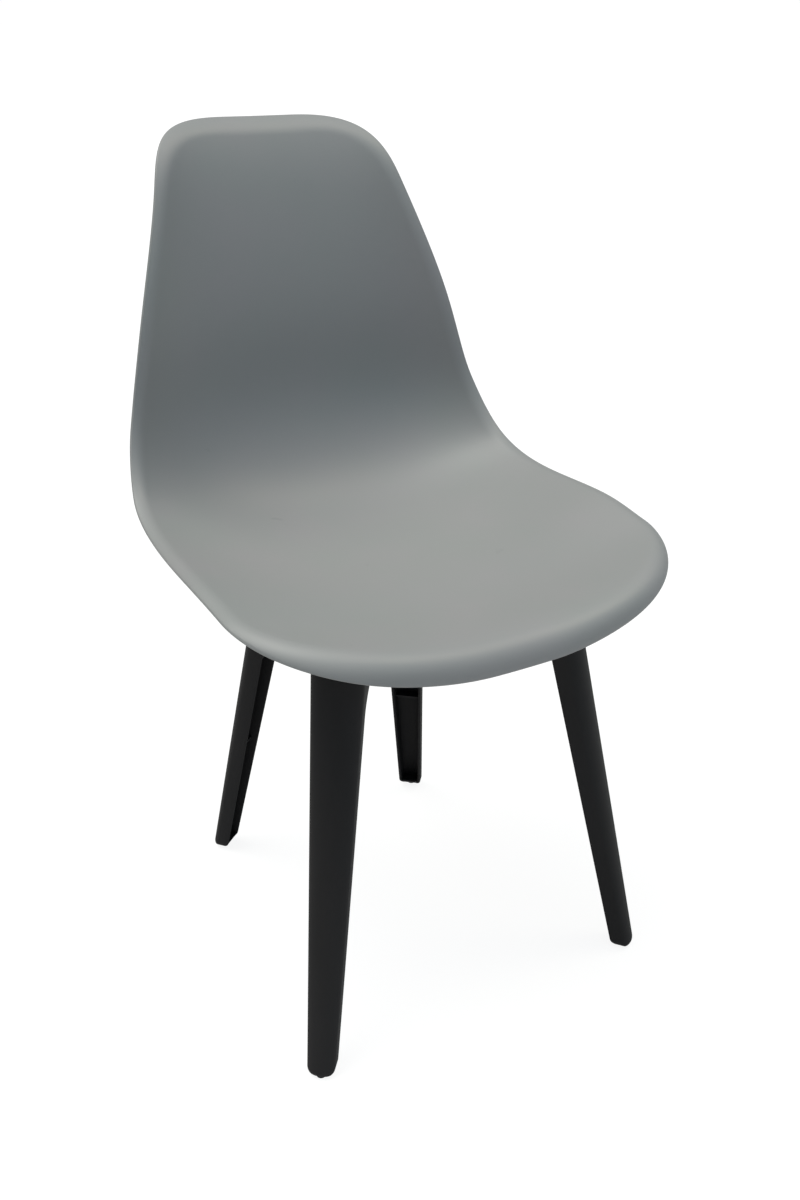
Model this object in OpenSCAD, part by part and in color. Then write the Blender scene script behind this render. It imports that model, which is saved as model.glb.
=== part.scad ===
// Moulded plastic shell chair: one-piece seat and back on four splayed channel legs.
// Front of the chair is -Y, +Z is up, the floor is Z = 0 and X = 0 is the plane of symmetry.
// Left is -X: the left hand of someone who stands before the chair and faces it.

/* [Shell profile] */
// Each station is one control point of the centre line, from the front lip to the top edge:
// [y, height above the mounting plane, half width of the shell, rise of the sides above the middle]
// Front edge of the seat
station_front = [-272, 37, 230, 27]; // [-300:0.5:450]
// Crown behind the front edge
station_crown = [-243, 46, 237.5, 32]; // [-300:0.5:450]
// Under the thighs
station_thigh = [-165, 30, 224, 34]; // [-300:0.5:450]
// Front half of the seat dish
station_dish = [-93, 27, 233, 52.5]; // [-300:0.5:450]
// Lowest part of the seat dish
station_low = [31.5, 6.5, 224.5, 60.5]; // [-300:0.5:450]
// Bend between seat and back
station_bend = [142.5, 25, 219.5, 63.5]; // [-300:0.5:450]
// Foot of the back
station_rear = [208.5, 128, 202, 61.5]; // [-300:0.5:450]
// Lumbar height
station_lumbar = [195.5, 222, 182.5, 46.5]; // [-300:0.5:450]
// Shoulder height
station_shoulder = [227, 366, 130, 29]; // [-300:0.5:450]
// Top edge of the back
station_top = [260, 421.5, 120.5, 18.5]; // [-300:0.5:450]
// How steeply the seat's dish turns up towards the sides (2 is a parabola)
seat_dish = 2; // [1.8:0.1:3]
// The same where the seat bends up into the back
bend_dish = 2.4; // [2:0.1:3]
// The same in the back
back_dish = 3.2; // [2:0.1:4]

/* [Shell wall and rim] */
// Thickness of the moulded wall
wall = 3.8; // [3:0.1:5]
// Width of the rounded front corners, across the chair
front_corner_w = 201.5; // [150:0.5:215]
// Length of the rounded front corners, along the shell
front_corner_l = 124.5; // [100:0.5:150]
// Width of the rounded top corners, across the chair
top_corner_w = 96; // [80:1:115]
// Length of the rounded top corners, along the shell
top_corner_l = 83; // [60:1:100]
// Squareness of the top corners (2 is an ellipse)
top_corner_power = 3; // [2:0.1:4]
// Drop of the waterfall lip at the front
lip_drop = 20; // [16:0.5:24]
// Length over which the front lip turns down
lip_run = 23; // [20:1:32]
// Roll-out of the side rim
side_drop = 6; // [5:0.5:8]
// Width of the side roll
side_run = 13; // [11:1:16]
// Roll-out of the top rim
top_drop = 8; // [6:0.5:10]
// Width of the top roll
top_run = 18; // [15:1:20]

/* [Leg frame layout] */
// Height above the floor of the plane that the shell's bosses rest on
mount_h = 405; // [380:1:430]
// Y of the point where the two steel bars cross
hub_y = -8; // [-20:1:20]
// Angle of the legs from the X axis, seen from above
leg_angle = 50; // [46:1:54]
// Distance from the hub to the nose of a front leg, at its head
front_head_r = 209; // [200:1:225]
// Distance from the hub to the nose of a front leg, at the floor
front_foot_r = 302; // [270:1:330]
// Distance from the hub to the nose of a rear leg, at its head
rear_head_r = 136; // [134:1:150]
// Distance from the hub to the nose of a rear leg, at the floor
rear_foot_r = 219; // [190:1:240]

/* [Legs] */
// Width of a leg across its nose, at the floor
foot_w = 27.5; // [24:0.5:32]
// Width of a leg across its nose, at its head
head_w = 51; // [44:0.5:56]
// Depth of a leg from nose to flange edge, at the floor
foot_depth = 22; // [20:0.5:27]
// Depth of a leg from nose to flange edge, at its head
head_depth = 30; // [27:0.5:36]
// Depth of the rounded nose as a share of half the leg's width
nose_ratio = 0.64; // [0.5:0.02:0.8]
// Wall of the leg channel
leg_wall = 3.5; // [2.5:0.1:4.5]
// Length of the mounting arm that reaches inwards from the head
arm_len = 58; // [54:1:64]
// Height of the curved knee between leg and arm
knee_h = 42; // [34:1:60]
// Height of the arm's side walls at its tip
arm_tip_h = 8; // [7:0.5:12]
// Thickness of the top plate of the head
head_plate = 6; // [4:0.5:8]
// Heights of the cross ribs in the channel
rib_heights = [155, 275]; // [100:5:300]
// Thickness of a cross rib
rib_t = 2.5; // [2:0.1:4]
// How far the cross ribs stand back from the flange edges
rib_setback = 8; // [4:0.5:10]
// Thickness of the closed end at the foot
sole_t = 8; // [7:0.5:10]
// Rounding of the foot under the nose
toe_r = 8; // [4:0.5:8]
// Rounding of the foot under the flange edges
heel_r = 10; // [6:0.5:10]
// Rounding of the foot under both flanks
flank_r = 9; // [5:0.5:9.5]

/* [Glides] */
// Height of the glide pad under the leg
glide_h = 2; // [1.5:0.5:4]
// Diameter of the pad
glide_d = 10; // [8:0.5:12]
// Bevel round the bottom of the pad
glide_bevel = 0.8; // [0.4:0.1:1.2]
// Diameter of the stem pressed into the leg
glide_stem_d = 6; // [4:0.5:7]
// Length of the stem
glide_stem_l = 5; // [3:0.5:6]

/* [Steel cross] */
// Thickness of the steel bars
bar_t = 3; // [2.5:0.5:4]
// Width of the steel bars
bar_w = 30; // [26:1:36]
// Thickness of the rubber pads between steel and shell
pad_t = 2; // [1:0.5:3]
// Length of the joggle that lifts the upper bar over the lower one
joggle_l = 12; // [8:1:20]
// Distance from the hub at which the joggle starts, as a share of the bar's width
joggle_share = 0.6; // [0.5:0.05:0.8]
// Diameter of the rivet that joins the bars
rivet_d = 8; // [6:0.5:10]
// Diameter of the rivet heads
rivet_head_d = 16; // [13:0.5:20]
// Height of the rivet heads
rivet_head_h = 3; // [2:0.5:4]
// Diameter of the rivet heads' flat crown, as a share of their own diameter
rivet_crown = 0.6; // [0.5:0.05:0.8]

/* [Fasteners] */
// Distance from the leg's nose to its outer bolt
bolt_inset = 48; // [46:1:52]
// Distance between the two bolts of a leg
bolt_pitch = 25; // [22:1:27]
// Thread diameter of the bolts
bolt_d = 6; // [5:0.5:6]
// Length of the bolts under the head
bolt_len = 20; // [19:0.5:21]
// Diameter of the bolt heads
bolt_head_d = 10; // [9:0.5:12]
// Height of the bolt heads
bolt_head_h = 4; // [3:0.5:5]
// Width across the corners of the hexagon socket
socket_d = 4.6; // [4:0.1:5.5]
// Depth of the socket as a share of the head's height
socket_depth = 0.6; // [0.5:0.05:0.75]
// Diameter of the washers
washer_d = 14; // [12:0.5:16]
// Thickness of the washers
washer_t = 1.5; // [1:0.1:2]
// Diameter of the bosses under the shell
boss_d = 18; // [16:0.5:20]
// Outer diameter of the brass inserts
insert_d = 9; // [8:0.5:10]
// Length of the brass inserts
insert_l = 11; // [10:0.5:11.5]
// Clearance all round a bolt in the holes it passes through
hole_gap = 0.3; // [0.2:0.1:0.5]
// Thickness of the ribs between the bosses
boss_rib_t = 3; // [2:0.5:4]

/* [Hidden] */
$fn = 48;
thread_gap = 0.05;
sink = 1;

// Control points of the centre line: [y, z, half width, rise, steepness of the dish]
function placed(station, dish) = [station[0], station[1] + mount_h, station[2], station[3], dish];
stations = [for (s = [station_front, station_crown, station_thigh, station_dish, station_low])
                placed(s, seat_dish),
            placed(station_bend, bend_dish),
            for (s = [station_rear, station_lumbar, station_shoulder, station_top])
                placed(s, back_dish)];

// Bearings of the four legs around the hub, and their radii at head and floor
front_left = 180 + leg_angle;
front_right = -leg_angle;
rear_left = 180 - leg_angle;
rear_right = leg_angle;
head_z = mount_h - pad_t - bar_t;
bar_inset = 28;
joggle_start = bar_w * joggle_share;
bolt_steps = [0, 1];
far = 500;

// Patch of the seat that the bosses stand under: its start and end as shares of the shell's
// length, its half width, and its rows and columns
boss_zone = [0.06, 0.55];
boss_zone_half = 150;
zone_rows = 14;
zone_cols = 6;

// ---- shell surface -------------------------------------------------------------------

// Point u along a smooth curve (uniform cubic B-spline) whose ends pass through p's ends
function smooth_curve(p, u) =
    let (n = len(p) - 1, i = max(0, min(floor(u), n - 1)), f = u - i,
         a = i > 0 ? p[i - 1] : 2 * p[0] - p[1],
         d = i + 2 <= n ? p[i + 2] : 2 * p[n] - p[n - 1])
    ((1 - f)^3 * a + (3 * f^3 - 6 * f^2 + 4) * p[i]
     + (-3 * f^3 + 3 * f^2 + 3 * f + 1) * p[i + 1] + f^3 * d) / 6;

function mix(a, b, t) = a + (b - a) * t;

// Ease from 0 to 1 as x goes from 0 to 1
function ease(x) = let (c = max(0, min(1, x))) c * c * (3 - 2 * c);

// Running length along the centre line, to place points by distance from the front edge
trace_n = 120;
trace = [for (i = [0:trace_n]) smooth_curve(stations, i * (len(stations) - 1) / trace_n)];
steps = [for (i = [0:trace_n - 1]) norm([trace[i + 1][0] - trace[i][0], trace[i + 1][1] - trace[i][1]])];
run = [for (i = 0, s = 0; i <= trace_n; s = s + (i < trace_n ? steps[i] : 0), i = i + 1) s];
shell_l = run[trace_n];
run_to_u = [for (i = [0:trace_n]) [run[i], i * (len(stations) - 1) / trace_n]];

// Interpolated station at distance s, and the direction of the centre line there
function spine(s) = smooth_curve(stations, lookup(s, run_to_u));
function heading(s) =
    let (h = 0.5, c = max(h, min(shell_l - h, s)), d = spine(c + h) - spine(c - h))
    [d[0], d[1]] / norm([d[0], d[1]]);

// Distance from the outline at a rounded corner w wide and l long, where the side is
// `side` away and the end edge is `end` away, and `power` is the squareness of the curve
function corner_gap(side, end, w, l, power) =
    let (qx = (w - side) / w, qs = (l - end) / l)
    qx > 0 && qs > 0
        ? let (q = (qx^power + qs^power)^(1 / power)) norm([w * qx, l * qs]) * (1 / q - 1)
        : min(side, end);
function edge_gap(s, x, half) =
    min(corner_gap(half - abs(x), s, front_corner_w, front_corner_l, 2),
        corner_gap(half - abs(x), shell_l - s, top_corner_w, top_corner_l, top_corner_power));

// Point on the middle of the wall, at distance s along the shell and x across it
function wall_mid(s, x) =
    let (c = max(0, min(shell_l, s)), p = spine(c), t = heading(c), n = [-t[1], t[0]],
         near_front = 1 - ease(c / front_corner_l),
         near_top = 1 - ease((shell_l - c) / top_corner_l),
         drop = side_drop + (lip_drop - side_drop) * near_front + (top_drop - side_drop) * near_top,
         reach = side_run + (lip_run - side_run) * near_front + (top_run - side_run) * near_top,
         roll = max(0, min(1, 1 - edge_gap(s, x, p[2]) / reach)),
         turn = mix(roll^2, 1 - sqrt(1 - roll^2), near_front),
         lift = p[3] * (abs(x) / p[2])^p[4] - drop * turn)
    [x, p[0] + t[0] * (s - c) + n[0] * lift, p[1] + t[1] * (s - c) + n[1] * lift];

// Unit normal of the wall, pointing to the sitter
function wall_normal(s, x) =
    let (h = 0.4,
         n = cross(wall_mid(s, x + h) - wall_mid(s, x - h), wall_mid(s + h, x) - wall_mid(s - h, x)))
    n / norm(n);

// Half width of the outline at distance s, with its rounded corners
function corner_inset(end, w, l, power) =
    w * (1 - (1 - max(0, (l - end) / l)^power)^(1 / power));
function half_outline(s) =
    spine(s)[2] - corner_inset(s, front_corner_w, front_corner_l, 2)
                - corner_inset(shell_l - s, top_corner_w, top_corner_l, top_corner_power);

// Rows along the shell, close together round the corners, and columns across it
corner_rows = 10;
body_rows = 24;
half_cols = 18;
rows = [for (i = [0:corner_rows]) front_corner_l * (1 - cos(90 * i / corner_rows)),
        for (i = [1:body_rows - 1])
            front_corner_l + (shell_l - front_corner_l - top_corner_l) * i / body_rows,
        for (i = [corner_rows:-1:0]) shell_l - top_corner_l * (1 - cos(90 * i / corner_rows))];
cols = [for (j = [-half_cols:half_cols]) sign(j) * sin(90 * abs(j) / half_cols)];

module moulded_wall() {
    nr = len(rows);
    nc = len(cols);
    grid = [for (s = rows) let (half = half_outline(s)) [for (c = cols) [s, c * half]]];
    mid = [for (r = grid) [for (q = r) wall_mid(q[0], q[1])]];
    nrm = [for (r = grid) [for (q = r) wall_normal(q[0], q[1])]];
    rim = [for (j = [0:nc - 1]) [0, j], for (i = [1:nr - 1]) [i, nc - 1],
           for (j = [nc - 2:-1:0]) [nr - 1, j], for (i = [nr - 2:-1:1]) [i, 0]];
    nrim = len(rim);
    round_steps = [60, 120];
    edge = [for (a = round_steps) [for (k = [0:nrim - 1])
            let (q = rim[k], b = rim[(k + 1) % nrim], c = rim[(k + nrim - 1) % nrim],
                 n = nrm[q[0]][q[1]], o = cross(mid[b[0]][b[1]] - mid[c[0]][c[1]], n))
            mid[q[0]][q[1]] + wall / 2 * (cos(a) * n + sin(a) * o / norm(o))]];
    points = concat([for (i = [0:nr - 1]) for (j = [0:nc - 1]) mid[i][j] + nrm[i][j] * wall / 2],
                    [for (i = [0:nr - 1]) for (j = [0:nc - 1]) mid[i][j] - nrm[i][j] * wall / 2],
                    edge[0], edge[1]);
    cells = nr * nc;
    function top_id(q) = q[0] * nc + q[1];
    ring = [[for (q = rim) top_id(q)],
            [for (k = [0:nrim - 1]) 2 * cells + k],
            [for (k = [0:nrim - 1]) 2 * cells + nrim + k],
            [for (q = rim) cells + top_id(q)]];
    faces = [for (i = [0:nr - 2]) for (j = [0:nc - 2])
                 let (a = i * nc + j, b = a + 1, c = a + nc + 1, d = a + nc)
                 each [[a, c, b], [a, d, c],
                       [cells + a, cells + b, cells + c], [cells + a, cells + c, cells + d]],
             for (k = [0:nrim - 1]) for (m = [0:2])
                 let (e = (k + 1) % nrim,
                      a = ring[m][k], b = ring[m][e], c = ring[m + 1][e], d = ring[m + 1][k])
                 each [[a, b, c], [a, c, d]]];
    polyhedron(points, faces);
}

// Everything above the middle of the seat's wall, to trim what is moulded under it
module above_seat() {
    reach_s = [for (i = [0:zone_rows]) shell_l * mix(boss_zone[0], boss_zone[1], i / zone_rows)];
    reach_x = [for (j = [-zone_cols:zone_cols]) boss_zone_half * j / zone_cols];
    nr = len(reach_s);
    nc = len(reach_x);
    low = [for (s = reach_s) for (x = reach_x) wall_mid(s, x)];
    high = [for (p = low) [p[0], p[1], mount_h + far]];
    cells = nr * nc;
    edge = [for (j = [0:nc - 1]) j, for (i = [1:nr - 1]) i * nc + nc - 1,
            for (j = [nc - 2:-1:0]) (nr - 1) * nc + j, for (i = [nr - 2:-1:1]) i * nc];
    faces = [for (i = [0:nr - 2]) for (j = [0:nc - 2])
                 let (a = i * nc + j, b = a + 1, c = a + nc + 1, d = a + nc)
                 each [[a, b, c], [a, c, d],
                       [cells + a, cells + c, cells + b], [cells + a, cells + d, cells + c]],
             for (k = [0:len(edge) - 1])
                 let (a = edge[k], b = edge[(k + 1) % len(edge)])
                 each [[a, cells + a, b], [b, cells + a, cells + b]]];
    polyhedron(concat(low, high), faces);
}

// ---- places ---------------------------------------------------------------------------

// Stands what follows on the line of one leg: X runs outwards from the hub
module along(bearing) { translate([0, hub_y, 0]) rotate([0, 0, bearing]) children(); }

// The two bolt places of a leg whose head's nose is at radius head_r
module at_bolts(head_r, z) {
    for (step = bolt_steps)
        translate([head_r - bolt_inset - step * bolt_pitch, 0, z]) children();
}

module at_all_bolts(z) {
    for (leg = [[front_left, front_head_r], [front_right, front_head_r],
                [rear_left, rear_head_r], [rear_right, rear_head_r]])
        along(leg[0]) at_bolts(leg[1], z) children();
}

// Flat strip with round ends between two radii
module strip(inner_r, outer_r, width, height) {
    translate([inner_r + width / 2, 0, 0]) cylinder(d = width, h = height);
    translate([outer_r - width / 2, 0, 0]) cylinder(d = width, h = height);
    translate([inner_r + width / 2, -width / 2, 0])
        cube([outer_r - inner_r - width, width, height]);
}

// ---- shell ------------------------------------------------------------------------------

// Bosses of one leg's two bolts, joined by a rib, up to above the wall
module boss_pair(head_r) {
    at_bolts(head_r, mount_h) cylinder(d = boss_d, h = far / 2);
    translate([head_r - bolt_inset - bolt_pitch, -boss_rib_t / 2, mount_h])
        cube([bolt_pitch, boss_rib_t, far / 2]);
}

module seat_shell() {
    color("#989b96") difference() {
        union() {
            moulded_wall();
            difference() {
                union() {
                    along(front_left) boss_pair(front_head_r);
                    along(front_right) boss_pair(front_head_r);
                    along(rear_left) boss_pair(rear_head_r);
                    along(rear_right) boss_pair(rear_head_r);
                }
                above_seat();
            }
        }
        at_all_bolts(mount_h - sink) cylinder(d = insert_d, h = insert_l + sink);
    }
}

// ---- legs -------------------------------------------------------------------------------

// Lengthening of the section inwards, from the leg's own depth to the full arm
knee_z = head_z - arm_tip_h - knee_h;
function knee(z) = let (t = max(0, min(1, (z - knee_z) / knee_h))) arm_len * (1 - sqrt(1 - t^2));

// Rounding r of an end, at height h above its lowest point
function rounding(h, r) = h >= r ? 0 : r - sqrt(r^2 - (r - h)^2);

// Horizontal section of a leg at height z, drawn in by `inside` from its outer face and ending
// `reach` beyond the flange edges. The nose is half an ellipse, the two flanges run straight inwards.
nose_steps = 12;
function leg_section(z, head_r, foot_r, inside, reach) =
    let (t = z / head_z, h = z - glide_h, toe = rounding(h, toe_r), heel = rounding(h, heel_r),
         w = mix(foot_w, head_w, t) / 2 - rounding(h, flank_r), r = mix(foot_r, head_r, t),
         nose = w * nose_ratio, depth = mix(foot_depth, head_depth, t) + knee(z),
         squeeze = (depth - toe - heel) / depth)
    [for (q = [for (i = [0:nose_steps]) let (a = -90 + 180 * i / nose_steps)
                   [(nose - inside) * cos(a) - nose, (w - inside) * sin(a)],
               [-depth - reach, w - inside], [-depth - reach, -(w - inside)]])
        [r - toe + q[0] * (inside == 0 ? squeeze : 1), q[1], z]];

// Solid through a stack of sections that have the same number of points
module loft(sections) {
    n = len(sections[0]);
    m = len(sections);
    side = [for (k = [0:m - 2]) for (i = [0:n - 1])
                let (a = k * n + i, b = k * n + (i + 1) % n, c = b + n, d = a + n)
                each [[a, c, b], [a, d, c]]];
    polyhedron([for (s = sections) each s],
               concat(side, [[for (i = [0:n - 1]) i]], [[for (i = [n - 1:-1:0]) (m - 1) * n + i]]));
}

foot_steps = 6;
knee_steps = 9;
foot_rounding = max(toe_r, heel_r, flank_r);
foot_levels = [for (i = [0:foot_steps]) glide_h + foot_rounding * (1 - cos(90 * i / foot_steps))];
knee_levels = [for (i = [0:knee_steps]) knee_z + knee_h * sin(90 * i / knee_steps)];
leg_levels = concat(foot_levels, knee_levels, [head_z]);
channel_floor = glide_h + sole_t;
channel_top = head_z - head_plate;

module leg(head_r, foot_r) {
    color("#2b2b2d") difference() {
        union() {
            difference() {
                loft([for (z = leg_levels) leg_section(z, head_r, foot_r, 0, 0)]);
                loft([for (z = [channel_floor, channel_top])
                          leg_section(z, head_r, foot_r, leg_wall, arm_len + sink)]);
            }
            for (h = rib_heights)
                loft([for (z = [h - rib_t / 2, h + rib_t / 2])
                          leg_section(z, head_r, foot_r, leg_wall / 2, -rib_setback)]);
        }
        at_bolts(head_r, channel_top - sink)
            cylinder(d = bolt_d + 2 * hole_gap, h = head_plate + 2 * sink);
        at_foot(foot_r, glide_h - sink) cylinder(d = glide_stem_d, h = glide_stem_l + sink);
    }
}

// Middle of the flat end of a foot
module at_foot(foot_r, z) {
    translate([foot_r - toe_r - (foot_depth - toe_r - heel_r) / 2, 0, z]) children();
}

module leg_front_left() { along(front_left) leg(front_head_r, front_foot_r); }
module leg_front_right() { along(front_right) leg(front_head_r, front_foot_r); }
module leg_rear_left() { along(rear_left) leg(rear_head_r, rear_foot_r); }
module leg_rear_right() { along(rear_right) leg(rear_head_r, rear_foot_r); }

// ---- glides -----------------------------------------------------------------------------

// Turned pad with a stem that is pressed into the foot
module glide(foot_r) {
    r = glide_d / 2;
    stem_r = glide_stem_d / 2;
    color("#3a3a3c") at_foot(foot_r, 0) rotate_extrude()
        polygon([[0, 0], [r - glide_bevel, 0], [r, glide_bevel], [r, glide_h], [stem_r, glide_h],
                 [stem_r, glide_h + glide_stem_l], [0, glide_h + glide_stem_l]]);
}

module glide_front_left() { along(front_left) glide(front_foot_r); }
module glide_front_right() { along(front_right) glide(front_foot_r); }
module glide_rear_left() { along(rear_left) glide(rear_foot_r); }
module glide_rear_right() { along(rear_right) glide(rear_foot_r); }

// ---- steel cross ------------------------------------------------------------------------

// Plan of a bar from the rear leg's head, through the hub, to the front leg's head
module bar_plan() {
    difference() {
        strip(-(rear_head_r - bar_inset), front_head_r - bar_inset, bar_w, 3 * bar_t);
        at_bolts(front_head_r, -sink) cylinder(d = bolt_d + 2 * hole_gap, h = 4 * bar_t);
        rotate([0, 0, 180]) at_bolts(rear_head_r, -sink) cylinder(d = bolt_d + 2 * hole_gap, h = 4 * bar_t);
        translate([0, 0, -sink]) cylinder(d = rivet_d, h = 4 * bar_t);
    }
}

module cross_bar_lower() {
    color("#34353a") along(front_left) translate([0, 0, head_z]) intersection() {
        bar_plan();
        translate([-far, -bar_w, 0]) cube([2 * far, 2 * bar_w, bar_t]);
    }
}

// Side view of the upper bar, stepped up by one thickness over the lower one
module joggled_profile() {
    inner = joggle_start;
    outer = joggle_start + joggle_l;
    polygon([[-far, 0], [-outer, 0], [-inner, bar_t], [inner, bar_t], [outer, 0], [far, 0],
             [far, bar_t], [outer, bar_t], [inner, 2 * bar_t], [-inner, 2 * bar_t],
             [-outer, bar_t], [-far, bar_t]]);
}

module cross_bar_upper() {
    color("#34353a") along(front_right) translate([0, 0, head_z]) intersection() {
        bar_plan();
        translate([0, bar_w, 0]) rotate([90, 0, 0]) linear_extrude(2 * bar_w) joggled_profile();
    }
}

module cross_rivet() {
    color("#b9bbbd") translate([0, hub_y, head_z]) {
        cylinder(d = rivet_d, h = 2 * bar_t);
        translate([0, 0, 2 * bar_t])
            cylinder(d1 = rivet_head_d, d2 = rivet_head_d * rivet_crown, h = rivet_head_h);
        translate([0, 0, -rivet_head_h])
            cylinder(d1 = rivet_head_d * rivet_crown, d2 = rivet_head_d, h = rivet_head_h);
    }
}

// ---- rubber pads ------------------------------------------------------------------------

module pad(head_r) {
    color("#1d1d1e") translate([0, 0, mount_h - pad_t]) difference() {
        strip(head_r - bolt_inset - bolt_pitch - boss_d / 2, head_r - bolt_inset + boss_d / 2,
              boss_d, pad_t);
        at_bolts(head_r, -sink) cylinder(d = bolt_d + 2 * hole_gap, h = pad_t + 2 * sink);
    }
}

module pad_front_left() { along(front_left) pad(front_head_r); }
module pad_front_right() { along(front_right) pad(front_head_r); }
module pad_rear_left() { along(rear_left) pad(rear_head_r); }
module pad_rear_right() { along(rear_right) pad(rear_head_r); }

// ---- fasteners --------------------------------------------------------------------------

module shell_inserts() {
    color("#b08d3e") at_all_bolts(mount_h) difference() {
        cylinder(d = insert_d, h = insert_l);
        translate([0, 0, -sink]) cylinder(d = bolt_d + 2 * thread_gap, h = insert_l + 2 * sink);
    }
}

module leg_washers() {
    color("#c4c6c8") at_all_bolts(channel_top - washer_t) difference() {
        cylinder(d = washer_d, h = washer_t);
        translate([0, 0, -sink]) cylinder(d = bolt_d + 2 * hole_gap, h = washer_t + 2 * sink);
    }
}

module leg_bolts() {
    color("#a9abad") at_all_bolts(channel_top - washer_t) difference() {
        union() {
            cylinder(d = bolt_d, h = bolt_len);
            translate([0, 0, -bolt_head_h]) cylinder(d = bolt_head_d, h = bolt_head_h);
        }
        translate([0, 0, -bolt_head_h - sink])
            cylinder(d = socket_d, h = bolt_head_h * socket_depth + sink, $fn = 6);
    }
}

seat_shell();
leg_front_left();
leg_front_right();
leg_rear_left();
leg_rear_right();
glide_front_left();
glide_front_right();
glide_rear_left();
glide_rear_right();
cross_bar_lower();
cross_bar_upper();
cross_rivet();
pad_front_left();
pad_front_right();
pad_rear_left();
pad_rear_right();
shell_inserts();
leg_washers();
leg_bolts();
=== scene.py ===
"""Looks of the moulded plastic shell chair: meshes, finishes, light and camera over its CAD frame.

Front of the chair is -Y, +Z is up. Lengths below are millimetres, as in part.scad, and become
metres where a mesh is made.
"""

import math

import bmesh
import bpy
import numpy as np
from mathutils import Matrix, Vector


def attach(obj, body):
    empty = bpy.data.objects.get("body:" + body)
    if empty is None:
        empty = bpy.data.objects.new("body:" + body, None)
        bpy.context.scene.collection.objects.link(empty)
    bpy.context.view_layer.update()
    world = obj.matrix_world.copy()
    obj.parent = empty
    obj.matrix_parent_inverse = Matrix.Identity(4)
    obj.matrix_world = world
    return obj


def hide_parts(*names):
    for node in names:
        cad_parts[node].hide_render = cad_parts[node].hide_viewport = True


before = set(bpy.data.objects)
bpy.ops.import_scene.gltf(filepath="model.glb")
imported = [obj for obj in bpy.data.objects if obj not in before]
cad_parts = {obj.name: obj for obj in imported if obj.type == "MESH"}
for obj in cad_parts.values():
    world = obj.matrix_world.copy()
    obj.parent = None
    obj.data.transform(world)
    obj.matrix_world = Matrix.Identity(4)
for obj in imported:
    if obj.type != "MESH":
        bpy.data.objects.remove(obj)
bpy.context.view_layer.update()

MM = 0.001

# ---- sizes shared with part.scad ------------------------------------------------------------

MOUNT_H = 405.0
HUB_Y = -8.0
WALL = 3.8
SEAT_DISH, BEND_DISH, BACK_DISH = 2, 2.4, 3.2

# Control points of the shell's centre line: y, height above the mounting plane, half width, rise,
# power of the dish
STATIONS = np.array([
    [-272, 37, 230, 27, SEAT_DISH],          # front edge
    [-243, 46, 237.5, 32, SEAT_DISH],        # crown
    [-165, 30, 224, 34, SEAT_DISH],          # thigh
    [-93, 27, 233, 52.5, SEAT_DISH],         # dish
    [31.5, 6.5, 224.5, 60.5, SEAT_DISH],     # lowest part
    [142.5, 25, 219.5, 63.5, BEND_DISH],     # bend
    [208.5, 128, 202, 61.5, BACK_DISH],      # foot of the back
    [195.5, 222, 182.5, 46.5, BACK_DISH],    # lumbar
    [227, 366, 130, 29, BACK_DISH],          # shoulder
    [260, 421.5, 120.5, 18.5, BACK_DISH],    # top edge
], float) + [0, MOUNT_H, 0, 0, 0]

FRONT_CORNER = (201.5, 124.5, 2)   # across, along, power of its curve
TOP_CORNER = (96, 83, 3)
LIP = (20.0, 23.0)                 # drop and run of the roll at the front
SIDE = (6.0, 13.0)
TOP = (8.0, 26.0)                  # its run is 18 in part.scad, too short for the light on it

LEG_ANGLE = 50.0
LEGS = {   # bearing, radius of the nose at the head and at the floor
    "front_left": (180 + LEG_ANGLE, 209.0, 302.0),
    "front_right": (-LEG_ANGLE, 209.0, 302.0),
    "rear_left": (180 - LEG_ANGLE, 136.0, 219.0),
    "rear_right": (LEG_ANGLE, 136.0, 219.0),
}
PAD_T, BAR_T = 2.0, 3.0
HEAD_Z = MOUNT_H - PAD_T - BAR_T
FOOT_W, HEAD_W = 27.5, 51.0
FOOT_DEPTH, HEAD_DEPTH = 22.0, 30.0
NOSE_RATIO = 0.64
LEG_WALL = 3.5
ARM_LEN, KNEE_H, ARM_TIP_H = 58.0, 42.0, 8.0
HEAD_PLATE = 6.0
RIB_HEIGHTS = (155.0, 275.0)
RIB_T = 2.5
RIB_SETBACK = 8.0
SOLE_T = 8.0
TOE_R, HEEL_R, FLANK_R = 8.0, 10.0, 9.0
GLIDE_H, GLIDE_D, GLIDE_EDGE = 2.0, 10.0, 0.8
GLIDE_STEM_D, GLIDE_STEM_L = 6.0, 5.0
BOLT_INSET, BOLT_PITCH, BOLT_D, HOLE_GAP = 48.0, 25.0, 6.0, 0.3
BOSS_D, INSERT_D, INSERT_L = 18.0, 9.0, 11.0
BOSS_RIB_T = 3.0

# ---- finish of the meshes -------------------------------------------------------------------

SMOOTH_ANGLE = 35             # sharper edges than this stay sharp
BOSS_FLARE = 3.0              # where a boss meets the underside
BOSS_BEVEL = 0.5
BRIM_R = 1.5                  # rounding of a leg's head
NARROW_SHARE = 0.8            # of the half width or nose, the most that a wall takes in the foot
SUNK_IN_WALL = 0.6            # how far sole, ribs and head plate go into the wall, as a share of it
SUNK_IN_FOOT = 0.3            # and at most, as a share of the half width
SOLE_SETBACK, PLATE_SETBACK = 0.4, 0.8   # from the open side of the channel
PLATE_BELOW_BRIM = 0.05
SEAT_PART = (0.05, 0.5)       # of the shell's length, where bosses stand


# ---- meshes ---------------------------------------------------------------------------------

def scene_object(name, data):
    made = bpy.data.objects.new(name, data)
    bpy.context.scene.collection.objects.link(made)
    return made


def mesh_object(name, points, faces):
    """New object from points in millimetres, smooth but for its sharp edges."""
    data = bpy.data.meshes.new(name)
    data.from_pydata([tuple(p) for p in np.asarray(points, float) * MM], [], faces)
    data.validate()
    data.shade_smooth()
    data.set_sharp_from_angle(angle=math.radians(SMOOTH_ANGLE))
    data.update()
    return scene_object(name, data)


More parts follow.
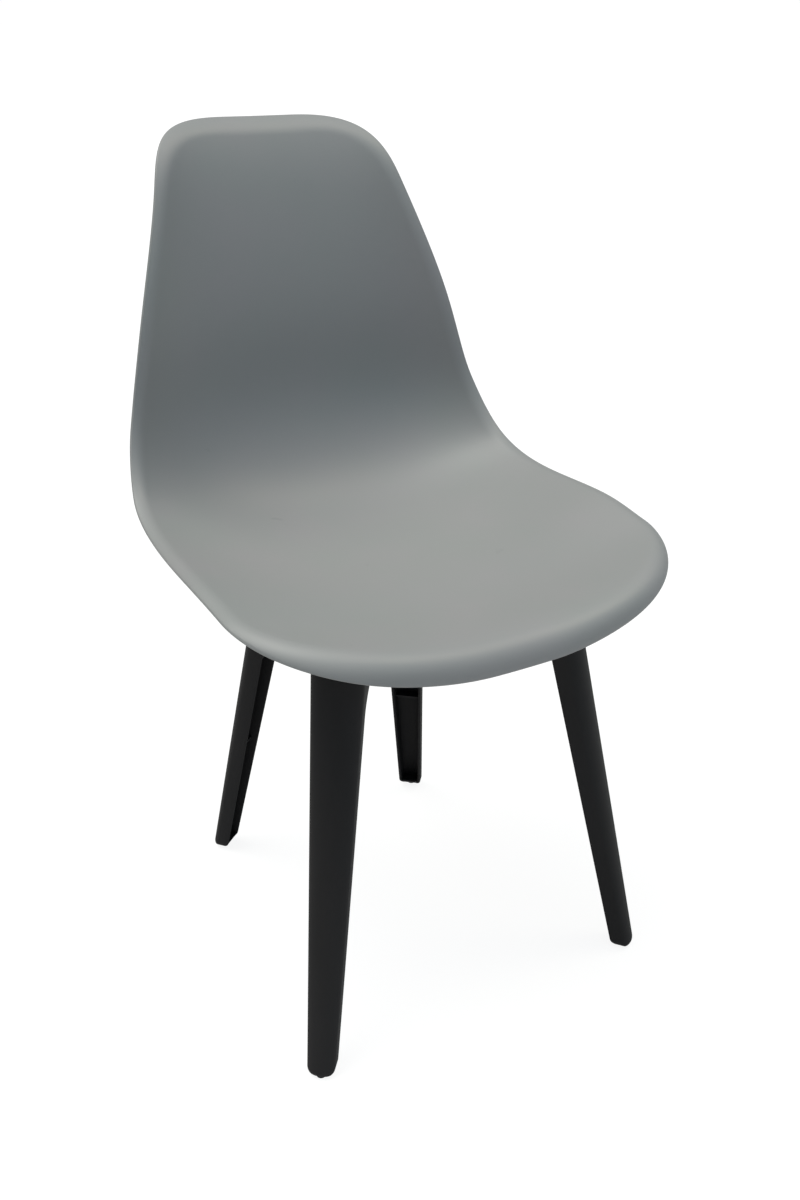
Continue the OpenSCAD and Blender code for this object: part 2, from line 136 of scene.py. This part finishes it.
def add_parts(parts):
    """One list of points and one of faces from several."""
    points, faces = [], []
    for p, f in parts:
        shift = len(points)
        points += [tuple(q) for q in p]
        faces += [[shift + i for i in face] for face in f]
    return points, faces


def loft(sections):
    """Closed skin over a stack of rings that run anticlockwise seen from the far end."""
    n, m = len(sections[0]), len(sections)
    faces = [[k * n + i, k * n + (i + 1) % n, (k + 1) * n + (i + 1) % n, (k + 1) * n + i]
             for k in range(m - 1) for i in range(n)]
    faces += [list(range(n - 1, -1, -1)), [(m - 1) * n + i for i in range(n)]]
    return [p for s in sections for p in s], faces


def circle(radius, z, steps, x=0.0):
    """Points round a level circle whose middle is at x."""
    return [[x + radius * math.cos(a), radius * math.sin(a), z]
            for a in np.linspace(0, 2 * np.pi, steps, endpoint=False)]


def quarter(steps):
    """Angles through a quarter of a turn, both ends included."""
    return np.linspace(0, np.pi / 2, steps)


# ---- shell surface --------------------------------------------------------------------------

def smooth_curve(points, u):
    """Uniform cubic B-spline through the first and last of the points, at u in 0..len - 1."""
    n = len(points) - 1
    full = np.vstack([2 * points[0] - points[1], points, 2 * points[-1] - points[-2]])
    i = np.clip(np.floor(u).astype(int), 0, n - 1)
    f = (u - i)[..., None]
    a, b, c, d = full[i], full[i + 1], full[i + 2], full[i + 3]
    return ((1 - f) ** 3 * a + (3 * f ** 3 - 6 * f ** 2 + 4) * b
            + (-3 * f ** 3 + 3 * f ** 2 + 3 * f + 1) * c + f ** 3 * d) / 6


def ease(x):
    x = np.clip(x, 0, 1)
    return x * x * (3 - 2 * x)


TRACE_POINTS = 601
TRACE_U = np.linspace(0, len(STATIONS) - 1, TRACE_POINTS)
TRACE = smooth_curve(STATIONS, TRACE_U)
RUN = np.r_[0, np.cumsum(np.hypot(*np.diff(TRACE[:, :2], axis=0).T))]
SHELL_L = RUN[-1]


def spine(s):
    """Station at distance s along the shell."""
    return smooth_curve(STATIONS, np.interp(s, RUN, TRACE_U))


def heading(s, h=0.5):
    """Direction of the centre line, in y and z."""
    c = np.clip(s, h, SHELL_L - h)
    d = (spine(c + h) - spine(c - h))[..., :2]
    return d / np.linalg.norm(d, axis=-1, keepdims=True)


def corner_gap(side, end, corner):
    """Distance from the outline near a rounded corner."""
    w, l, power = corner
    qx, qs = (w - side) / w, (l - end) / l
    q = (np.maximum(qx, 0) ** power + np.maximum(qs, 0) ** power) ** (1 / power)
    inwards = 1 / np.maximum(q, 1e-9) - 1
    return np.where((qx > 0) & (qs > 0), np.hypot(w * qx, l * qs) * inwards, np.minimum(side, end))


def wall_mid(s, x):
    """Points on the middle of the wall, at distance s along the shell and x across it."""
    c = np.clip(s, 0, SHELL_L)
    p, t = spine(c), heading(c)
    n = np.stack([-t[..., 1], t[..., 0]], -1)
    half, rise, power = p[..., 2], p[..., 3], p[..., 4]
    front = 1 - ease(c / FRONT_CORNER[1])
    top = 1 - ease((SHELL_L - c) / TOP_CORNER[1])
    drop, reach = (at_side + (at_front - at_side) * front + (at_top - at_side) * top
                   for at_side, at_front, at_top in zip(SIDE, LIP, TOP))
    side = half - np.abs(x)
    gap = np.minimum(corner_gap(side, s, FRONT_CORNER), corner_gap(side, SHELL_L - s, TOP_CORNER))
    roll = np.clip(1 - gap / reach, 0, 1)
    turn = roll ** 2 + (1 - np.sqrt(1 - roll ** 2) - roll ** 2) * front
    lift = rise * (np.abs(x) / half) ** power - drop * turn
    along = s - c
    return np.stack([x, p[..., 0] + t[..., 0] * along + n[..., 0] * lift,
                     p[..., 1] + t[..., 1] * along + n[..., 1] * lift], -1)


def wall_normal(s, x, h=0.3):
    n = np.cross(wall_mid(s, x + h) - wall_mid(s, x - h), wall_mid(s + h, x) - wall_mid(s - h, x))
    return n / np.linalg.norm(n, axis=-1, keepdims=True)


def corner_inset(end, corner):
    w, l, power = corner
    return w * (1 - (1 - np.clip((l - end) / l, 0, 1) ** power) ** (1 / power))


def half_outline(s):
    inset = corner_inset(s, FRONT_CORNER) + corner_inset(SHELL_L - s, TOP_CORNER)
    return spine(s)[..., 2] - inset


def shell_mesh(corner_rows=40, body_rows=130, half_cols=64, edge_steps=8):
    """Wall of even thickness with a full round edge."""
    bend = quarter(corner_rows + 1)
    body = np.linspace(FRONT_CORNER[1], SHELL_L - TOP_CORNER[1], body_rows + 1)
    rows = np.r_[FRONT_CORNER[1] * (1 - np.cos(bend)), body[1:-1],
                 SHELL_L - TOP_CORNER[1] * (1 - np.cos(bend[::-1]))]
    cols = np.sin(np.linspace(-np.pi / 2, np.pi / 2, 2 * half_cols + 1))
    s = np.repeat(rows[:, None], len(cols), 1)
    x = half_outline(rows)[:, None] * cols[None]
    mid, nrm = wall_mid(s, x), wall_normal(s, x)
    nr, nc = mid.shape[:2]
    ids = np.arange(nr * nc).reshape(nr, nc)
    rim = np.r_[ids[0, :], ids[1:, -1], ids[-1, -2::-1], ids[-2:0:-1, 0]]
    m, n = mid.reshape(-1, 3), nrm.reshape(-1, 3)
    out = np.cross(np.roll(m[rim], -1, 0) - np.roll(m[rim], 1, 0), n[rim])
    out /= np.linalg.norm(out, axis=1, keepdims=True)
    angles = np.linspace(0, np.pi, edge_steps + 1)[1:-1]
    rings = [m[rim] + WALL / 2 * (np.cos(a) * n[rim] + np.sin(a) * out) for a in angles]
    points = np.vstack([m + n * WALL / 2, m - n * WALL / 2] + rings)
    cells, nrim = nr * nc, len(rim)
    a, b = ids[:-1, :-1].ravel(), ids[:-1, 1:].ravel()
    c, d = ids[1:, 1:].ravel(), ids[1:, :-1].ravel()
    faces = np.vstack([np.c_[a, b, c, d], np.c_[d, c, b, a] + cells]).tolist()
    edge = [2 * cells + k * nrim + np.arange(nrim) for k in range(len(angles))]
    loops = [rim] + edge + [rim + cells]
    for low, high in zip(loops[1:], loops[:-1]):
        faces += np.c_[low, np.roll(low, -1), np.roll(high, -1), high].tolist()
    return points, faces


def wall_height(x, y, steps=200):
    """Height of the middle of the seat's wall over each place on the floor plan."""
    s = np.linspace(*SEAT_PART, steps) * SHELL_L
    heights = []
    for px, py in zip(x, y):
        line = wall_mid(s, np.full_like(s, px))
        heights.append(np.interp(py, line[:, 1], line[:, 2]))
    return np.array(heights)


# ---- places ---------------------------------------------------------------------------------

def on_bearing(points, bearing):
    """Turns points from a leg's own line, where X runs outwards from the hub, to its place."""
    a = math.radians(bearing)
    p = np.asarray(points, float)
    return np.c_[p[:, 0] * math.cos(a) - p[:, 1] * math.sin(a),
                 p[:, 0] * math.sin(a) + p[:, 1] * math.cos(a) + HUB_Y, p[:, 2]]


def bolt_radii(head_r):
    return [head_r - BOLT_INSET, head_r - BOLT_INSET - BOLT_PITCH]


# ---- bosses ---------------------------------------------------------------------------------

def boss_mesh(bearing, radius, steps=48, flare_steps=6):
    """Boss with a bore for its insert, which flares out where it meets the underside."""
    bore, outer = INSERT_D / 2, BOSS_D / 2

    def ring(r, z):
        return on_bearing(circle(r, z, steps, radius), bearing)

    def under_wall(r, below):
        points = ring(r, 0)
        points[:, 2] = wall_height(points[:, 0], points[:, 1]) - below
        return points

    rings = [ring(bore, MOUNT_H + INSERT_L), ring(bore, MOUNT_H),
             ring(outer - BOSS_BEVEL, MOUNT_H), ring(outer, MOUNT_H + BOSS_BEVEL)]
    rings += [under_wall(outer + BOSS_FLARE * (1 - math.cos(a)),
                         WALL / 2 + BOSS_FLARE * (1 - math.sin(a))) for a in quarter(flare_steps)]
    rings.append(under_wall(outer + BOSS_FLARE, 0))
    return loft(rings)


def boss_rib_mesh(bearing, inner_r, outer_r, steps=10):
    """Rib between two bosses, up into the wall."""
    half = BOSS_RIB_T / 2
    line = np.linspace(inner_r, outer_r, steps + 1)
    plan = np.r_[np.c_[line, np.full(len(line), -half)],
                 np.c_[line[::-1], np.full(len(line), half)]]
    low = on_bearing(np.c_[plan, np.full(len(plan), MOUNT_H)], bearing)
    high = low.copy()
    high[:, 2] = wall_height(low[:, 0], low[:, 1])
    return loft([low, high])


def shell_with_bosses():
    parts = [shell_mesh()]
    for bearing, head_r, _ in LEGS.values():
        outer, inner = bolt_radii(head_r)
        parts += [boss_mesh(bearing, outer), boss_mesh(bearing, inner),
                  boss_rib_mesh(bearing, inner, outer)]
    return add_parts(parts)


# ---- legs -----------------------------------------------------------------------------------

def knee(z):
    """Length that the arm adds to the leg's depth at height z."""
    t = min(1.0, max(0.0, (z - (HEAD_Z - ARM_TIP_H - KNEE_H)) / KNEE_H))
    return ARM_LEN * (1 - math.sqrt(1 - t * t))


def rounding(h, r):
    """Inset of a rounded edge of radius r, at distance h from its end."""
    return 0.0 if h >= r else r - math.sqrt(max(0.0, r * r - (r - h) ** 2))


def leg_frame(z, head_r, foot_r):
    """Half width, nose depth, whole depth, place of the nose, toe and heel insets at height z."""
    t = z / HEAD_Z
    w = (FOOT_W + (HEAD_W - FOOT_W) * t) / 2 - rounding(z - GLIDE_H, FLANK_R)
    depth = FOOT_DEPTH + (HEAD_DEPTH - FOOT_DEPTH) * t + knee(z)
    toe, heel = rounding(z - GLIDE_H, TOE_R), rounding(z - GLIDE_H, HEEL_R)
    brim = rounding(HEAD_Z - z, BRIM_R)
    nose_place = foot_r + (head_r - foot_r) * t - toe - brim
    return w - brim, w * NOSE_RATIO, depth, nose_place, toe, heel + brim


def channel_ring(z, head_r, foot_r, nose_steps=28, lip_steps=4):
    """Closed ring round the U of the channel: outer face, round flange lip, inner face, lip."""
    w, nose, depth, r, toe, heel = leg_frame(z, head_r, foot_r)
    squeeze = (depth - toe - heel) / depth
    wall = min(LEG_WALL, NARROW_SHARE * w, NARROW_SHARE * nose * squeeze)
    lip = wall / 2
    end = -depth * squeeze + lip
    ring = [[(nose * math.cos(a) - nose) * squeeze, w * math.sin(a)]
            for a in np.linspace(-np.pi / 2, np.pi / 2, nose_steps + 1)]
    ring += [[end - lip * math.sin(a), w - lip + lip * math.cos(a)]
             for a in np.linspace(0, np.pi, lip_steps + 1)]
    ring += [[(nose * squeeze - wall) * math.cos(a) - nose * squeeze, (w - wall) * math.sin(a)]
             for a in np.linspace(np.pi / 2, -np.pi / 2, nose_steps + 1)]
    ring += [[end + lip * math.sin(a), -(w - lip) - lip * math.cos(a)]
             for a in np.linspace(np.pi, 2 * np.pi, lip_steps + 1)]
    return [[r + q[0], q[1], z] for q in ring]


def filled_ring(z, head_r, foot_r, setback, nose_steps=28):
    """Ring round what closes the channel at height z, sunk into its walls."""
    w, nose, depth, r, toe, heel = leg_frame(z, head_r, foot_r)
    squeeze = (depth - toe - heel) / depth
    sunk = min(LEG_WALL * SUNK_IN_WALL, SUNK_IN_FOOT * w)
    inner = w - sunk
    ring = [[(nose * squeeze - sunk) * math.cos(a) - nose * squeeze, inner * math.sin(a)]
            for a in np.linspace(-np.pi / 2, np.pi / 2, nose_steps + 1)]
    end = -depth * squeeze + setback
    ring += [[end, inner], [end, -inner]]
    return [[r + q[0], q[1], z] for q in ring]


def drilled_plate(outline, z_high, holes, radius, steps=32):
    """Plate from the height of its outline up to z_high, whose round holes are real openings."""
    plate = bmesh.new()
    edges, loops = [], []
    for ring in [outline] + [circle(radius, outline[0][2], steps, x) for x in holes]:
        first = len(plate.verts)
        verts = [plate.verts.new(q) for q in ring]
        edges += [plate.edges.new(pair) for pair in zip(verts, verts[1:] + verts[:1])]
        loops.append(list(range(first, first + len(ring))))
    bmesh.ops.triangle_fill(plate, use_beauty=True, use_dissolve=False, edges=edges)
    plate.verts.index_update()
    flat = [list(v.co) for v in plate.verts]
    triangles = [[v.index for v in f.verts] for f in plate.faces]
    plate.free()
    n = len(flat)
    faces = []
    for t in triangles:
        a, b, c = (Vector(flat[i]) for i in t)
        if (b - a).cross(c - a).z >= 0:
            t = t[::-1]
        faces += [t, [i + n for i in t[::-1]]]
    for k, loop in enumerate(loops):
        for a, b in zip(loop, loop[1:] + loop[:1]):
            faces.append([a, b, b + n, a + n] if k == 0 else [b, a, a + n, b + n])
    return flat + [[*q[:2], z_high] for q in flat], faces


def leg_mesh(head_r, foot_r, foot_steps=16, shank_steps=22, knee_steps=28, brim_steps=5,
             sole_steps=14):
    """Channel with its sole, two ribs and the head plate with its bolt holes."""
    knee_z = HEAD_Z - ARM_TIP_H - KNEE_H
    foot_z = GLIDE_H + max(HEEL_R, FLANK_R)
    levels = [GLIDE_H + (foot_z - GLIDE_H) * (1 - math.cos(a)) for a in quarter(foot_steps)]
    levels += list(np.linspace(foot_z, knee_z, shank_steps)[1:])
    levels += [knee_z + KNEE_H * math.sin(a) for a in quarter(knee_steps)[1:]]
    levels += [HEAD_Z - BRIM_R * (1 - math.sin(a)) for a in quarter(brim_steps)]

    def filling(heights, setback):
        return loft([filled_ring(z, head_r, foot_r, setback) for z in heights])

    plate = filled_ring(HEAD_Z - HEAD_PLATE, head_r, foot_r, PLATE_SETBACK)
    sole = [GLIDE_H + SOLE_T * (1 - math.cos(a)) for a in quarter(sole_steps)]
    parts = [loft([channel_ring(z, head_r, foot_r) for z in levels]), filling(sole, SOLE_SETBACK)]
    parts += [filling([h - RIB_T / 2, h + RIB_T / 2], RIB_SETBACK) for h in RIB_HEIGHTS]
    parts.append(drilled_plate(plate, HEAD_Z - PLATE_BELOW_BRIM, bolt_radii(head_r),
                               BOLT_D / 2 + HOLE_GAP))
    return add_parts(parts)


def glide_mesh(foot_r, edge_steps=6, steps=40):
    """Small pad with a rounded edge and the stem that holds it in the foot, turned round Z."""
    pad_r, stem_r = GLIDE_D / 2, GLIDE_STEM_D / 2
    profile = [(pad_r - GLIDE_EDGE * (1 - math.sin(a)), GLIDE_EDGE * (1 - math.cos(a)))
               for a in quarter(edge_steps)]
    profile += [(pad_r, GLIDE_H), (stem_r, GLIDE_H), (stem_r, GLIDE_H + GLIDE_STEM_L)]
    x = foot_r - TOE_R - (FOOT_DEPTH - TOE_R - HEEL_R) / 2
    return loft([circle(r, z, steps, x) for r, z in profile])


# ---- materials ------------------------------------------------------------------------------

PLASTIC_IOR = 1.49
ROUGHNESS_DRIFT = 0.05
DRIFT_RANGE = (0.3, 0.7)      # of the noise, spread over the two shades
SCUFF_SCALE, SCUFF_DISTORTION = 38.0, 0.6
SCUFF_RANGE = (0.72, 0.78)    # of the noise, from clean to scuffed
SCUFF_COVER, SCUFF_SHADE = 0.6, 0.85
GRAIN_STRENGTH = 0.3
METAL_GRAIN, METAL_SPREAD = 300.0, 0.08
MATT = 0.9


def shader(name):
    """New material, its node tree and its shader."""
    mat = bpy.data.materials.new(name)
    mat.use_nodes = True
    nodes = mat.node_tree.nodes
    return mat, mat.node_tree, next(n for n in nodes if n.type == "BSDF_PRINCIPLED")


def fill_in(node, inputs):
    """Sets inputs of a node, by name or number, each to a value or to another node's output."""
    for key, value in inputs.items():
        if isinstance(value, bpy.types.NodeSocket):
            node.id_data.links.new(value, node.inputs[key])
        else:
            node.inputs[key].default_value = value


def add_node(tree, kind, inputs, **settings):
    node = tree.nodes.new(kind)
    for key, value in settings.items():
        setattr(node, key, value)
    fill_in(node, inputs)
    return node


def noise(tree, place, scale, detail=2.0, distortion=0.0):
    inputs = {"Vector": place, "Scale": scale, "Detail": detail, "Distortion": distortion}
    return add_node(tree, "ShaderNodeTexNoise", inputs).outputs["Fac"]


def spread(tree, value, source=(0.0, 1.0), target=(0.0, 1.0)):
    """Value carried from one range to another, and kept inside it."""
    inputs = {"Value": value, "From Min": source[0], "From Max": source[1],
              "To Min": target[0], "To Max": target[1]}
    return add_node(tree, "ShaderNodeMapRange", inputs).outputs["Result"]


def mixed(tree, first, second, share):
    inputs = {"A": first, "B": second, "Factor": share}
    return add_node(tree, "ShaderNodeMix", inputs, data_type="RGBA").outputs["Result"]


def moulded_plastic(name, low, high, roughness, grain_scale, grain_height,
                    specular=0.5, drift_scale=7.0, flow=1.0):
    """Satin moulded plastic: fine grain in bump, slow drift between two shades, faint scuffs.

    flow below 1 draws the drift out along Z into upright flow marks.
    """
    mat, tree, bsdf = shader(name)
    place = add_node(tree, "ShaderNodeTexCoord", {}).outputs["Object"]
    drawn = add_node(tree, "ShaderNodeMapping",
                     {"Vector": place, "Scale": (1 / flow, 1 / flow, flow)})
    drift = noise(tree, drawn.outputs["Vector"], drift_scale, detail=3.0)
    scuffs = noise(tree, place, SCUFF_SCALE, detail=6.0, distortion=SCUFF_DISTORTION)
    grain = noise(tree, place, grain_scale)
    tint = mixed(tree, (*low, 1), (*high, 1), spread(tree, drift, DRIFT_RANGE))
    dark = (*[SCUFF_SHADE * c for c in low], 1)
    bump = add_node(tree, "ShaderNodeBump", {"Strength": GRAIN_STRENGTH, "Distance": grain_height,
                                             "Height": grain})
    fill_in(bsdf, {
        "Base Color": mixed(tree, tint, dark, spread(tree, scuffs, SCUFF_RANGE, (0.0, SCUFF_COVER))),
        "Roughness": spread(tree, drift,
                            target=(roughness - ROUGHNESS_DRIFT, roughness + ROUGHNESS_DRIFT)),
        "Normal": bump.outputs["Normal"],
        "IOR": PLASTIC_IOR,
        "Specular IOR Level": specular,
    })
    return mat


def metal(name, colour, roughness, metallic=1.0):
    """Metal or coated metal with a fine variation in gloss."""
    mat, tree, bsdf = shader(name)
    place = add_node(tree, "ShaderNodeTexCoord", {}).outputs["Object"]
    fill_in(bsdf, {
        "Base Color": (*colour, 1),
        "Roughness": spread(tree, noise(tree, place, METAL_GRAIN),
                            target=(roughness - METAL_SPREAD, roughness + METAL_SPREAD)),
        "Metallic": metallic,
    })
    return mat


def white(name, albedo, glow):
    """Even material of the floor and backdrop, which partly shines by itself."""
    mat, _, bsdf = shader(name)
    fill_in(bsdf, {"Base Color": (albedo, albedo, albedo, 1), "Roughness": MATT,
                   "Emission Color": (1, 1, 1, 1), "Emission Strength": glow})
    return mat


def wear(piece, mat):
    piece.data.materials.clear()
    piece.data.materials.append(mat)


GREY = moulded_plastic("shell_grey", (0.274, 0.280, 0.277), (0.285, 0.280, 0.284), roughness=0.48,
                       grain_scale=2400, grain_height=0.00006, drift_scale=10.0)
BLACK = moulded_plastic("leg_black", (0.0168, 0.0155, 0.0159), (0.0210, 0.0194, 0.0203),
                        roughness=0.6, grain_scale=1800, grain_height=0.0001,
                        specular=0.2, flow=0.25)
DARK = moulded_plastic("glide_dark", (0.022, 0.022, 0.023), (0.026, 0.026, 0.026), roughness=0.6,
                       grain_scale=1800, grain_height=0.0001)
RUBBER = moulded_plastic("pad_rubber", (0.016, 0.016, 0.016), (0.020, 0.020, 0.020), roughness=0.75,
                         grain_scale=1500, grain_height=0.0001)
STEEL = metal("powder_coat", (0.022, 0.022, 0.024), roughness=0.5, metallic=0.0)
ZINC = metal("zinc_plate", (0.62, 0.63, 0.64), roughness=0.35)
BRASS = metal("brass", (0.72, 0.53, 0.22), roughness=0.35)


# ---- pieces ---------------------------------------------------------------------------------

def stand_for(piece, node, mat):
    """Puts a piece of the scene in the place of a CAD node."""
    wear(piece, mat)
    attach(piece, "root")
    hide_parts(node)


stand_for(mesh_object("shell_moulding", *shell_with_bosses()), "seat_shell", GREY)
for corner, (bearing, head_r, foot_r) in LEGS.items():
    points, faces = leg_mesh(head_r, foot_r)
    leg = mesh_object(f"leg_moulding_{corner}", on_bearing(points, bearing), faces)
    stand_for(leg, f"leg_{corner}", BLACK)
    points, faces = glide_mesh(foot_r)
    glide = mesh_object(f"glide_pad_{corner}", on_bearing(points, bearing), faces)
    stand_for(glide, f"glide_{corner}", DARK)

FINISHES = {"pad_": RUBBER, "cross_bar": STEEL, "cross_rivet": ZINC,
            "leg_washers": ZINC, "leg_bolts": ZINC, "shell_inserts": BRASS}
for name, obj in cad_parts.items():
    for start, mat in FINISHES.items():
        if name.startswith(start):
            wear(obj, mat)


# ---- floor and backdrop, in metres ----------------------------------------------------------

STAGE_R = 40.0
STAGE_STEPS = 64
BACKDROP_FOOT = -0.01         # below the floor, so that no gap shows between them
REFLECTOR_Z = -0.0005         # just under the white floor
REFLECTOR_ALBEDO, REFLECTOR_GLOW = 0.4, 0.2


def stage(name, points, faces, mat):
    data = bpy.data.meshes.new(name)
    data.from_pydata(points, [], faces)
    made = scene_object(name, data)
    wear(made, mat)
    return made


def disc(name, z, mat):
    return stage(name, circle(STAGE_R, z, STAGE_STEPS), [list(range(STAGE_STEPS))], mat)


def seen_by_camera_only(obj):
    for ray in ("diffuse", "glossy", "transmission", "volume_scatter", "shadow"):
        setattr(obj, f"visible_{ray}", False)


def plain_floor():
    """White floor and backdrop for the camera, over a grey floor that reflects onto the chair."""
    seen_by_camera_only(disc("floor", 0, white("floor_white", albedo=0.14, glow=0.9)))
    grey = white("floor_grey", REFLECTOR_ALBEDO, REFLECTOR_GLOW)
    disc("floor_reflector", REFLECTOR_Z, grey).visible_camera = False
    n = STAGE_STEPS
    points = circle(STAGE_R, BACKDROP_FOOT, n) + circle(STAGE_R, STAGE_R, n)
    faces = [[i, (i + 1) % n, (i + 1) % n + n, i + n] for i in range(n)]
    faces.append([i + n for i in range(n)])
    shining = white("backdrop_white", albedo=0.0, glow=1.0)
    seen_by_camera_only(stage("backdrop", points, faces, shining))


# ---- light and camera -----------------------------------------------------------------------

# Soft patches of light: azimuth from the front and elevation in degrees, how narrow the patch is,
# and its colour
SKY = [
    (244, 71, 19, (9.0, 8.9, 8.3)),      # main light, high at the back left
    (77, 61, 60, (7.5, 6.7, 5.3)),       # smaller warm one at the right
    (27, 54, 2, (0.30, 0.44, 0.56)),     # the room itself, cool and even
]
CAMERA_PLACE = (-542.1, -999.0, 938.7)
CAMERA_AZIMUTH, CAMERA_ELEVATION, CAMERA_ROLL = -30.70, 26.78, 0.99
SENSOR = 36
FOCAL = 1204.3 / 1200                    # in image heights
PRINCIPAL = (18.8 / 1200, 4.9 / 1200)    # right of and below the middle, in image heights


def direction(azimuth, elevation):
    """Unit vector towards an azimuth from the front and an elevation, in degrees."""
    a, e = math.radians(azimuth), math.radians(elevation)
    return Vector((math.sin(a) * math.cos(e), -math.cos(a) * math.cos(e), math.sin(e)))


def sky_light():
    """World made of the soft patches, each falling off smoothly round its own direction."""
    world = bpy.data.worlds.new("room")
    world.use_nodes = True
    tree = world.node_tree

    def maths(kind, operation, *values, **named):
        return add_node(tree, f"ShaderNode{kind}", {**dict(enumerate(values)), **named},
                        operation=operation)

    towards = add_node(tree, "ShaderNodeTexCoord", {}).outputs["Generated"]
    total = None
    for azimuth, elevation, narrow, colour in SKY:
        dot = maths("VectorMath", "DOT_PRODUCT", towards, direction(azimuth, elevation))
        drop = maths("Math", "MULTIPLY_ADD", dot.outputs["Value"], narrow, -narrow)
        fade = maths("Math", "EXPONENT", drop.outputs[0])
        patch = maths("VectorMath", "SCALE", colour, Scale=fade.outputs[0]).outputs[0]
        total = patch if total is None else maths("VectorMath", "ADD", total, patch).outputs[0]
    fill_in(tree.nodes["Background"], {"Color": total})
    bpy.context.scene.world = world


def camera():
    azimuth, roll = math.radians(CAMERA_AZIMUTH), math.radians(CAMERA_ROLL)
    back = direction(CAMERA_AZIMUTH, CAMERA_ELEVATION)
    level = Vector((math.cos(azimuth), math.sin(azimuth), 0))
    upright = back.cross(level)
    right = math.cos(roll) * level + math.sin(roll) * upright
    up = math.cos(roll) * upright - math.sin(roll) * level
    data = bpy.data.cameras.new("camera")
    data.sensor_width = SENSOR
    data.lens = SENSOR * FOCAL
    data.shift_x, data.shift_y = -PRINCIPAL[0], PRINCIPAL[1]
    cam = scene_object("camera", data)
    turn = Matrix((right, up, back)).transposed().to_4x4()
    cam.matrix_world = Matrix.Translation(Vector(CAMERA_PLACE) * MM) @ turn
    bpy.context.scene.camera = cam


plain_floor()
sky_light()
camera()
bpy.context.scene.view_settings.view_transform = "Standard"
